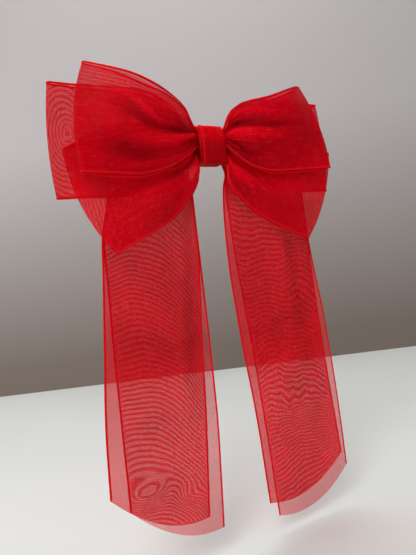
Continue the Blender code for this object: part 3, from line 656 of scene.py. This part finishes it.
upper_front_left = layer(
    Y_UPPER_FRONT,
    top=[(0, 9.2), (10.7, 10), (19, -26, 19.5), (31, -34, 24.8), (44, -40.5, 28.2), (56, -41, 32),
         (64, -36, 36), (70.4, -29, 40.3), (75.2, -24.8, 43)],
    bottom=[(0, -6), (10.7, -1.8), (14.9, -22.9, -5.2), (21.5, -24.4, -9.7), (31, -25.4, -14.4),
            (40, -26.4, -17.4), (52, -28.2, -19.8), (70, -31.8, -20.2), (86, -34.5, -20.2)],
    bow_out=4.2, bulge=4.0, pleat=0.9, turn=0.3, puff=2.2,
    creases=(
        (4.6, 0.32, ((0.1, 0.5, 0), (0.15, 0.42, 0.6), (0.22, 0.18, 0.95), (0.33, 0.05, 1),
            (0.46, 0.03, 0.95), (0.58, 0.1, 0.75), (0.68, 0.26, 0.4), (0.85, 0.4, 0))),
        (-3.4, 0.2, ((0.12, 0.05, 0), (0.16, -0.02, 0.8), (0.25, -0.22, 1), (0.4, -0.32, 0.9),
            (0.58, -0.28, 0.5), (0.75, -0.2, 0))),
        (-1.5, 0.12, ((0.4, 0.1, 0), (0.52, 0.2, 0.9), (0.62, 0.4, 1), (0.7, 0.56, 0.6), (0.8, 0.66, 0))),
        (-1.0, 0.14, ((0.14, 0.85, 0), (0.22, 0.76, 0.8), (0.31, 0.64, 1), (0.43, 0.65, 0.7),
            (0.55, 0.7, 0))),
        (2.0, 0.3, ((0.45, -0.6, 0), (0.6, -0.6, 0.8), (0.72, -0.52, 1), (0.9, -0.5, 0))),
        (-1.0, 0.09, ((0.45, -0.78, 0), (0.56, -0.8, 1), (0.7, -0.84, 0.7), (0.82, -0.86, 0)))))
upper_front_right = layer(
    Y_UPPER_FRONT,
    top=[(0, 9.2), (10.7, 10), (13.4, -22.8, 17.4), (16, -24.6, 21.6), (19.8, -27.5, 24.3), (26, -32, 25.8),
         (32.7, -36, 26.6), (38, -38.5, 27.6), (48, -40.6, 30.8), (57.4, -38.5, 34.4), (66, -32, 38.2),
         (73.6, -25, 41.5)],
    bottom=[(0, -6), (10.7, -0.6), (14.7, -22.8, -5.6), (22, -24.4, -12), (31, -25.4, -15.9),
            (40, -26.4, -17.7), (52, -28.2, -17.8), (70, -31.8, -17.4), (84.9, -34.5, -17.4)],
    bow_out=4.6, bulge=4.0, pleat=0.9, turn=0.3, puff=2.2,
    creases=(
        (3.0, 0.2, ((0.12, 0.42, 0), (0.16, 0.42, 1), (0.24, 0.4, 1), (0.34, 0.35, 0.6), (0.5, 0.3, 0))),
        (-2.6, 0.22, ((0.12, 0.1, 0), (0.17, 0.1, 0.9), (0.26, 0.02, 1), (0.36, -0.02, 0.9),
            (0.5, -0.06, 0.5), (0.66, -0.1, 0))),
        (2.8, 0.2, ((0.12, -0.35, 0), (0.17, -0.4, 0.9), (0.25, -0.5, 1), (0.34, -0.6, 0.7), (0.5, -0.6, 0))),
        (-1.4, 0.16, ((0.2, 0.8, 0), (0.3, 0.74, 0.8), (0.42, 0.66, 1), (0.55, 0.55, 0.6), (0.7, 0.45, 0))),
        (1.6, 0.18, ((0.4, 0.3, 0), (0.55, 0.22, 1), (0.72, 0.15, 0.5), (0.85, 0.1, 0)))),
    # painted shade along the bottom edge near the knot, along the top band and over the outer middle
    painted_shades=(
        (0.8, 0.4, ((0.1, -0.9, 0), (0.15, -0.9, 1), (0.32, -0.95, 1), (0.5, -1, 0.4), (0.65, -1, 0))),
        (0.6, 0.45, ((0.15, 0.8, 0), (0.3, 0.75, 1), (0.5, 0.7, 0.9), (0.75, 0.6, 0))),
        (0.3, 0.9, ((0.3, 0.1, 0), (0.5, 0.1, 1), (0.8, 0.1, 0.9), (1, 0.1, 0.4)))))
upper_back_left = layer(
    Y_UPPER_BACK,
    top=[(0, 9.2), (10.7, 9.9), (17.4, -22.6, 19.6), (28.6, -26.5, 27), (44, -27.5, 32.6), (56, -27.5, 36.6),
         (64, -26, 39.2), (70.4, -23.5, 41.4), (75.2, -21.8, 43)],
    bottom=[(0, -6), (10.7, -2), (14.9, -21.3, -5), (21.5, -22.8, -9.4), (31, -23.6, -14.6),
            (40, -24.4, -18.6), (52, -26, -21.2), (70, -29, -21.6), (86, -31.5, -20.4)],
    bow_out=4.2, bulge=0.8, puff=1.9)
upper_back_right = layer(
    Y_UPPER_BACK,
    top=[(0, 9.2), (10.7, 9.9), (14.4, -21.4, 17.2), (18, -22.4, 21.2), (24, -24, 24.2), (31, -25.5, 25.8),
         (44, -27.5, 29), (56, -27.5, 33), (64, -26, 36.6), (73.6, -22, 41.5)],
    bottom=[(0, -6), (10.7, -0.8), (14.7, -21.2, -5.4), (22, -22.8, -11.7), (31, -23.6, -16),
            (40, -24.4, -18.6), (52, -26, -19), (70, -29, -18.6), (84.9, -31.5, -17.6)],
    bow_out=4.6, bulge=0.8, puff=1.9)


def ring_fringe(seed, centre_x, centre_z, spacing, strength):
    """Watered rings round one place of each loop."""
    def at(grid, across, along):
        dx, dz = np.abs(grid[..., 0]) - centre_x, grid[..., 2] - centre_z
        reach = np.sqrt((1.5 * dx) ** 2 + (0.9 * dz) ** 2 + 4.0)
        return reach / spacing + 0.35 * wander(grid[..., 0], grid[..., 2], seed, 26.0), strength
    return at


def edge_fringe(seed, spacing):
    """Watered lines that run beside the edges."""
    def at(grid, across, along):
        return across / spacing + 0.9 * wander(across, along, seed, 40.0), 0.8
    return at


loop_pair("rear_loop", (rear_front, rear_front), (rear_back, rear_back), (1.0, 0.0),
          (0.3, 6.0, 11), ring_fringe(5, 88.0, 6.0, 2.7, 1.0), (1.0, 1.1))
loop_pair("lower_loop", (lower_front_left, lower_front_right), (lower_back_left, lower_back_right),
          (0.92, -0.38), (0.3, 5.0, 23), ring_fringe(6, 66.0, -34.0, 3.0, 0.9), (1.0, 1.1), 2.0)
loop_pair("upper_loop", (upper_front_left, upper_front_right), (upper_back_left, upper_back_right),
          (0.99, 0.15), (0.35, 6.0, 37), edge_fringe(7, 2.7), (1.0, 1.6))


# ---- tails
TAIL_GRAIN = 0.2            # the tails are more even in colour than the loops


def inside(edges, x, z, margin):
    """1 well inside the outline between two edge curves, 0 outside it."""
    inner, outer = (smooth_through(e)(np.linspace(0, 1, 200)) for e in edges)
    lowest = min(inner[-1, 1], outer[-1, 1])
    x_in = np.interp(-z, -inner[:, 1], inner[:, 0])
    x_out = np.interp(-z, -outer[:, 1], outer[:, 0])
    return rise(x - x_in, -margin, margin) * rise(x_out - x, -margin, margin) * rise(z - lowest, 0.0, 4.0)


def mound(x, z, centre_x, centre_z, wide, tall):
    return np.exp(-((x - centre_x) / wide)**2 - ((z - centre_z) / tall)**2)


def tail_fringe(sign, x, z, t, seed):
    """Phase of the watered lines where the front tail lies over the rear one."""
    share = 1 - t if sign < 0 else t          # from the left edge to the right one
    if sign < 0:
        line = z + 62.0 * (share - 0.27)**2
        spacing, small, tiny = 3.1, 0.35, 0.08
        eyes = 5.5 * mound(x, z, 67.0, -203.0, 12.0, 7.5) + 3.0 * mound(x, z, 42.0, -212.0, 9.0, 6.0)
    else:
        falling = 88.0 * np.maximum(share - 0.5, 0.0)**2
        falling = falling * rise(-z, 70.0, 180.0) * (1 - rise(-z, 175.0, 225.0))
        line = z + falling - 24.0 * share * rise(-z, 175.0, 220.0)
        spacing, small, tiny = 3.5, 0.8, 0.2
        eyes = 2.2 * mound(x, z, 45.0, -178.0, 15.0, 10.0)
    return (line / spacing + eyes + small * wander(x, 0.28 * z, seed + 1, 19.0)
            + tiny * wander(x, 0.2 * z, seed + 3, 8.0) + 0.7 * wander(x, z, seed + 2, 70.0))


def tail(side, level, edges, end_drop, depth, drift, seed, soft_fold, denser, behind=None,
         steps=230, rows=44):
    """A hanging length of ribbon: gathered at the knot, full width below it.

    edges are its inner and outer one, as if on the right.  end_drop is how far
    its cut end sags between them.  depth is its y at the knot, and drift how
    much that changes by the end.  soft_fold is a faint lengthwise fold: its
    place across, half width and how far down it is strongest.  denser is how
    much more light the cloth hides than one plain layer.  behind is the edges
    of a layer that it makes watered rings with.
    """
    name, sign = f"{side}_{level}_tail", -1 if side == "left" else 1
    u = (np.arange(steps + 1) / steps) ** 1.4
    t = np.arange(rows + 1) / rows
    inner, outer = (smooth_through(edge)(u) for edge in edges)
    flat = inner[:, None] + (outer - inner)[:, None] * t[None, :, None]
    x, z = flat[..., 0], flat[..., 1] - end_drop * u[:, None]**6 * 4 * (t * (1 - t))[None]
    down = u[:, None]
    y = depth + drift * down * down
    y = y + 0.35 * np.clip((down - 0.15) / 0.3, 0, 1) * np.sin(2.3 * np.pi * down + 2.0 * t)
    y = y + 0.3 * rise(down, 0.05, 0.12) * (1 - rise(down, 0.2, 0.5)) * np.sin(np.pi * 6 * t + 4 * down)
    y = y + 0.12 * wander(x, z, seed, 34.0) * rise(down, 0.1, 0.3)
    at_t, half_t, strongest = soft_fold
    swell = hump(t[None] + 0.05 * np.sin(4 * down), at_t, half_t) * hump(down, strongest, 0.4)
    y = y + 0.45 * swell
    # painted shade in the soft fold and painted light growing towards the tail's lower end; the wander term
    # is random tone
    fold = -0.38 * swell + 0.12 * wander(x, z, seed + 5, 60.0) - 0.12 + 0.24 * rise(-z, 105.0, 190.0)
    grid = np.stack([sign * x, y, z], -1)
    along = lengths_along(grid[:, rows // 2])
    tight = tightness(grid)
    if behind:
        strength = inside(behind, x, z, 1.2)
        phase = tail_fringe(sign, x, z, t[None], seed)
    else:
        strength, phase = np.zeros_like(x), np.zeros_like(x)
    cloth = mesh_piece(name + "_organza", grid, grid_faces(steps + 1, rows + 1), ORGANZA,
                       triples(RIBBON_WIDTH * t[None], along[:, None], tight[:, None] * denser),
                       triples(phase, strength, FRONT_FINER if behind else 1.0), fold, TAIL_GRAIN)
    cords = edge_cords(name + "_selvage", both_edges(grid), False)
    for piece in (cloth, cords):
        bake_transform(piece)
    declare_ribbon(f"tail_{side}_{level}")


NECK_INNER = [(3, -8.4), (10.9, -8.5)]
NECK_OUTER = [(3, 8.4), (10.5, 8)]
LEFT_FRONT = (NECK_INNER + [(13.3, -13), (12.8, -26), (13.5, -62), (19, -120), (23, -165), (30, -229)],
              NECK_OUTER + [(36, 2), (58, -8), (66.5, -20), (69.5, -34), (74.4, -52), (77, -75), (82, -120),
                            (86.5, -160), (89, -199)])
LEFT_REAR = (NECK_INNER + [(13.3, -13), (12.4, -26), (12, -62), (12.5, -120), (13.5, -170), (18, -242)],
             NECK_OUTER + [(34, 1), (56, -9), (64.5, -20), (68.5, -34), (73, -52), (74.2, -82), (75.4, -120),
                           (76, -160), (77, -212)])
RIGHT_FRONT = (NECK_INNER + [(13, -13), (10.4, -26), (7.8, -62), (9, -120), (13, -177), (15, -236)],
               NECK_OUTER + [(38, 2), (62, -7), (73.5, -20), (76, -40), (76, -62), (77, -120), (79, -170),
                             (81, -221)])
RIGHT_REAR = (NECK_INNER + [(13.3, -13), (13, -26), (14, -62), (18, -120), (21.5, -180), (25, -250)],
              NECK_OUTER + [(38, 3), (64, -6), (76.5, -20), (78.2, -40), (78.6, -62), (85, -120), (89, -180),
                            (90, -234)])
tail("left", "front", LEFT_FRONT, 9.0, Y_TAIL_FRONT, -4.0, 41, (0.17, 0.12, 0.5), 1.35, LEFT_REAR)
tail("left", "rear", LEFT_REAR, 9.0, Y_TAIL_REAR, 0.5, 51, (0.6, 0.2, 0.7), 0.82)
tail("right", "front", RIGHT_FRONT, 9.0, Y_TAIL_FRONT, -4.0, 61, (0.78, 0.13, 0.42), 1.6, RIGHT_REAR)
tail("right", "rear", RIGHT_REAR, 10.0, Y_TAIL_REAR, 0.5, 71, (0.35, 0.2, 0.7), 0.82)


# ---- knot wrap
# inside corners as y, z and rounding: below from front to back, then above to the front again
WRAP_CORNERS = ((-22.3, -10.9, 2.2), (-9.9, -10.3, 1.4), (-6.2, -6.2, 1.0),
                (-6.2, 6.2, 1.0), (-9.9, 10.8, 1.4), (-22.3, 11.6, 2.2))
WRAP_CENTRE_X = -0.5
WRAP_HALF = 9.15            # half the width of the folded ribbon
WRAP_FREE_EDGE = -6.7       # x of the edge that lies on top
FOLD_HALF = 0.16            # half the step from one of its three layers to the next
WRAP_LAYERS = [0.17 + 2 * FOLD_HALF * step for step in range(3)]
WRAP_LAP = 22               # stations that its ends overlap by


def wrap_ring(grow, crown=1.2):
    """The loop that the wrap follows round knot and plate, as (y, z) points."""
    places = [np.array((y, z)) for y, z, _ in WRAP_CORNERS]
    out, count = [], len(places)
    for i, (place, (_, _, radius)) in enumerate(zip(places, WRAP_CORNERS)):
        before, after = unit(places[i - 1] - place), unit(places[(i + 1) % count] - place)
        half = math.acos(float(before @ after)) / 2
        centre = place + unit(before + after) * radius / math.sin(half)
        first, last = (place + way * radius / math.tan(half) - centre for way in (before, after))
        out += [centre + unit(first + (last - first) * k / 12) * (radius + grow) for k in range(13)]
    start, end = out[-1], out[0]
    out += [start + (end - start) * share - np.array((crown * math.sin(math.pi * share), 0.0))
            for share in np.arange(1, 16) / 16]
    return np.array(out)


def even_ring(grow, count=300):
    """That loop at even steps, from the middle of the plate's back, once round."""
    ring = wrap_ring(grow)
    ring = np.concatenate([ring, ring[:1]])
    along = lengths_along(ring)
    fine = np.stack([np.interp(np.linspace(0, along[-1], 4 * count), along, ring[:, i]) for i in (0, 1)], 1)
    begin = int(np.argmax(fine[:-1, 0] - 0.002 * np.abs(fine[:-1, 1])))
    fine = np.concatenate([fine[begin:-1], fine[:begin + 1]])
    return fine[::4]


def wrap_section():
    """The ribbon folded in thirds, as (x, height above the loop, 1 on the outer layer)."""
    inner, middle, outer = WRAP_LAYERS
    turns = np.linspace(0.6, 2.6, 4)

    def fold(side, height):
        return [(side * (WRAP_HALF + FOLD_HALF * math.sin(a)), height - FOLD_HALF * math.cos(a), 0.0)
                for a in turns]

    return np.array(
        [(8.0, inner, 0.0)] + [(x, inner, 0.0) for x in np.linspace(7.4, -WRAP_HALF, 26)]
        + fold(-1, inner + FOLD_HALF) + [(x, middle, 0.0) for x in np.linspace(-WRAP_HALF, WRAP_HALF, 30)]
        + fold(1, middle + FOLD_HALF) + [(x, outer, 1.0) for x in np.linspace(WRAP_HALF, WRAP_FREE_EDGE, 28)])


def knot_wrap():
    """The folded ribbon wound once round the knot, its ends lapped on the plate's back."""
    section = wrap_section()
    x, grow, outer = section.T
    across = lengths_along(section[:, :2])
    grows = WRAP_LAYERS[0] + FOLD_HALF * np.arange(6)
    rings = np.array([even_ring(height) for height in grows])
    rows = rings.shape[1]
    grid = []
    for k in range(rows + WRAP_LAP):
        turn = k / (rows - 1)
        here = rings[:, k % (rows - 1)]
        height = here[0, 1]
        front = rise(-here[0, 0], 17.0, 22.0)
        lean = -0.5 * front * (height / 12.0) * np.where(outer > 0, 0.4, 0.15) * (x < 0)
        placed = WRAP_CENTRE_X + x * (1 - 0.03 * rise(height, 4.0, 12.0) * front) + lean
        crease = 0.10 * np.sin(1.15 * x + 0.07 * height + 1.0) + 0.06 * np.sin(2.7 * x - 0.1 * height)
        puff = 0.22 * (1 - (x / 9.2) ** 2) * front
        loose = rise(turn, 0.03, 0.1) * (1 - rise(turn, 0.9, 0.97))
        push = 0.86 * rise(turn, 0.965, 1.0) + (crease * 0.6 + puff) * loose
        inward = unit(here[0] - here[-1])
        depth, level = (np.interp(grow, grows, here[:, i]) - inward[i] * push for i in (0, 1))
        grid.append(np.stack([placed, depth, level], 1))
    grid = np.array(grid)
    along = lengths_along(grid[:, len(section) // 2])
    phase = across[None] / 2.4 + 0.5 * wander(across[None], along[:, None], 81, 20.0)
    # the wrap's colour gets painted light that grows towards its top
    cloth = mesh_piece("knot_wrap_organza", grid, grid_faces(len(grid), len(section)), WRAP_ORGANZA,
                       triples(across[None], along[:, None], 1.15), triples(phase, 0.5, 1.3),
                       0.6 * rise(grid[..., 2], -4.0, 11.0) - 0.1, 0.4)
    cords = edge_cords("knot_wrap_selvage", both_edges(grid)[1:], False)
    for piece in (cloth, cords):
        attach(piece, "bow")
    declare_ribbon("centre_wrap")


knot_wrap()


# ---- gathering thread
def gathering_thread():
    """Two plies twisted together, three tight turns round the gathered ribbons."""
    front_z, back_z, front, back, corner = 10.15, 9.5, -21.55, -9.75, 1.0
    turns, pitch, twist, ply_radius, ply_out = 3, 0.9, 1.35, 0.135, 0.115
    outline = []
    for y, z, start in ((front + corner, front_z - corner, 90), (front + corner, corner - front_z, 180),
                        (back - corner, corner - back_z, 270), (back - corner, back_z - corner, 0)):
        for angle in np.radians(start + 15 * np.arange(7)):
            outline.append((y + corner * math.cos(angle), z + corner * math.sin(angle)))
    count = len(outline)
    line = np.array([(pitch * (k / count - turns / 2), *outline[k % count]) for k in range(count * turns)])
    along = lengths_along(line)
    steps = np.arange(0.0, along[-1], 0.11)
    line = np.stack([np.interp(steps, along, line[:, i]) for i in range(3)], 1)
    ahead = unit(np.gradient(line, axis=0))
    side = unit(np.cross(ahead, np.array((1.0, 0.0, 0.0))))
    cross = np.cross(ahead, side)
    routes = []
    for ply in (0.0, math.pi):
        angle = (2 * np.pi * steps / twist + ply)[:, None]
        routes.append((line + ply_out * (side * np.cos(angle) + cross * np.sin(angle)),
                       ply_radius * side, ply_radius * cross, steps))
    made = tubes("gathering_thread_plies", routes, 7, THREAD, 1.0)
    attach(made, "bow")
    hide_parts("gathering_thread")


gathering_thread()


# ---- felt pad
def felt_pad(count=220):
    """A strip of felt with rounded, slightly fuzzy edges and a pressed middle."""
    half_long, half_wide, front, back = 36.0, 5.5, -9.1, -8.1
    straight = half_long - half_wide
    outline = []
    for centre_x, start in ((straight, -90), (-straight, 90)):
        for angle in np.radians(start + 180 * np.arange(40) / 39):
            outline.append((centre_x + half_wide * math.cos(angle), half_wide * math.sin(angle)))
    closed = np.array(outline + outline[:1])
    along = lengths_along(closed)
    steps = np.linspace(0, along[-1], count, endpoint=False)
    rim = np.stack([np.interp(steps, along, closed[:, i]) for i in (0, 1)], 1)
    axis = np.stack([np.clip(rim[:, 0], -straight, straight), np.zeros(count)], 1)
    outward = unit(rim - axis)
    half_thick, middle = (back - front) / 2, (back + front) / 2
    profile = [(share, -1.0) for share in (0.0, 0.35, 0.7, 0.88)]
    profile += [(0.94 + 0.06 * math.sin(a), -math.cos(a)) for a in np.linspace(0.3, math.pi - 0.3, 6)]
    profile += [(share, 1.0) for share in (0.88, 0.7, 0.35, 0.0)]
    dice = np.random.default_rng(91)
    rings = []
    for share, level in profile:
        fuzz = 0.07 * np.abs(dice.standard_normal(count)) * (share > 0) * (0.4 + share)
        ring = axis + (rim - axis) * share - outward * (fuzz * (share > 0.9))[:, None]
        press = 0.1 * hump(ring[:, 0], 0.0, 14.0) * (level > 0)
        y = middle + level * (half_thick - 0.04 - fuzz * 0.5) - press
        rings.append(np.stack([ring[:, 0], y, ring[:, 1]], 1))
    made = mesh_piece("felt_backing_pad", np.stack(rings, 1), grid_faces(count, len(profile), True), FELT)
    work = bmesh.new()
    work.from_mesh(made.data)
    bmesh.ops.remove_doubles(work, verts=work.verts, dist=0.00002)
    bmesh.ops.holes_fill(work, edges=[e for e in work.edges if e.is_boundary])
    bmesh.ops.recalc_face_normals(work, faces=work.faces)
    work.to_mesh(made.data)
    work.free()
    made.data.polygons.foreach_set("use_smooth", [True] * len(made.data.polygons))
    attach(made, "bow")
    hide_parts("backing_pad")


felt_pad()


# ---- clip metal
for paint, nodes in ((NICKEL, ("base_plate", "hinge_pin", "clasp_rivet", "locking_arm")),
                     (SPRING, ("tension_bar", "clasp_foot", "clasp_prong_upper", "clasp_prong_lower"))):
    for node in nodes:
        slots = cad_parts[node].data.materials
        slots.clear()
        slots.append(paint)


# ---- stage
FLOOR_Z = -0.262
BACKDROP_AWAY = 0.87
FLOOR_REACH = 6.0
WALL_SIZE = 3.0             # half its width, and its height


def stage_paint(name, light, dark, scale, rising=False):
    """Plain matt paint; a rising one goes from dark below to light above."""
    p = Paint(name)
    place = p.position((1.0, 1.0, 1.0))
    cloud = p.noise(place, scale, 3.0, 0.55)
    grain = p.noise(place, 900.0, 2.0, 0.6)
    if rising:
        height = p.node("SeparateXYZ", {"Vector": place}).outputs[2]
        amount = p.scaled(cloud, 0.1, p.ramp(height, -0.05, 0.95, -0.22, 0.2))
    else:
        amount = p.ramp(cloud, 0.0, 1.0)
    face = p.out("BsdfPrincipled", {
        "Base Color": p.mix(amount, dark, light),
        "Roughness": p.ramp(cloud, 0.5, 0.62), "Normal": p.bump(grain, 0.00005, 0.1),
        "Specular IOR Level": 0.25})
    return p.finish(face)


def make_stage():
    ahead = Vector((CAMERA_AHEAD.x, CAMERA_AHEAD.y, 0.0)).normalized()
    side = Vector((ahead.y, -ahead.x, 0.0))
    foot = Vector((CAMERA_PLACE.x, CAMERA_PLACE.y, FLOOR_Z))
    wall_foot = foot + ahead * BACKDROP_AWAY

    def plane(name, corners, paint):
        mesh_piece(name, np.array(corners) / MM, [(0, 1, 2, 3)], paint)

    far, wide, tall = ahead * FLOOR_REACH, side * FLOOR_REACH, Vector((0, 0, WALL_SIZE))
    half_wall = side * WALL_SIZE
    plane("floor", [foot - far - wide, foot - far + wide, foot + far + wide, foot + far - wide],
          stage_paint("pale_table", (0.7, 0.715, 0.695), (0.66, 0.675, 0.65), 3.0))
    plane("backdrop", [wall_foot - half_wall, wall_foot + half_wall,
                       wall_foot + half_wall + tall, wall_foot - half_wall + tall],
          stage_paint("grey_wall", (0.5, 0.468, 0.468), (0.205, 0.165, 0.142), 1.2, True))


def area_light(name, place, aim, size, power, colour=(1.0, 1.0, 1.0)):
    data = bpy.data.lights.new(name, "AREA")
    data.shape = "RECTANGLE"
    data.size, data.size_y = size
    data.energy = power
    data.color = colour
    made = bpy.data.objects.new(name, data)
    made.location = place
    made.rotation_mode = "QUATERNION"
    made.rotation_quaternion = (Vector(aim) - Vector(place)).to_track_quat("-Z", "Y")
    COLLECTION.objects.link(made)


make_stage()
area_light("key", (-0.76, -0.66, 0.92), (0.0, 0.0, -0.05), (0.6, 0.6), 10.8, (1.0, 0.985, 0.97))
area_light("fill", (1.3, -0.9, 0.3), (0.0, 0.0, -0.1), (1.2, 1.2), 1.2, (0.97, 0.98, 1.0))
area_light("top", (0.0, -0.05, 1.5), (0.0, 0.0, -0.1), (1.4, 1.4), 6.0)
area_light("back", (0.3, 0.42, 0.85), (0.0, 0.0, -0.08), (0.8, 0.5), 6.5)
area_light("low_front", (-0.6, -0.85, 0.1), (0.0, 0.0, -0.04), (0.6, 0.3), 2.0)
area_light("low_back", (-0.5, 0.55, 0.2), (0.0, 0.0, -0.2), (0.5, 0.5), 1.3)

world = bpy.data.worlds.new("studio")
world.use_nodes = True
sky = world.node_tree.nodes["Background"]
sky.inputs["Color"].default_value = (0.93, 0.95, 1.0, 1.0)
sky.inputs["Strength"].default_value = 0.22
bpy.context.scene.world = world
bpy.context.scene.view_settings.view_transform = "Standard"
bpy.context.scene.cycles.transparent_max_bounces = 24
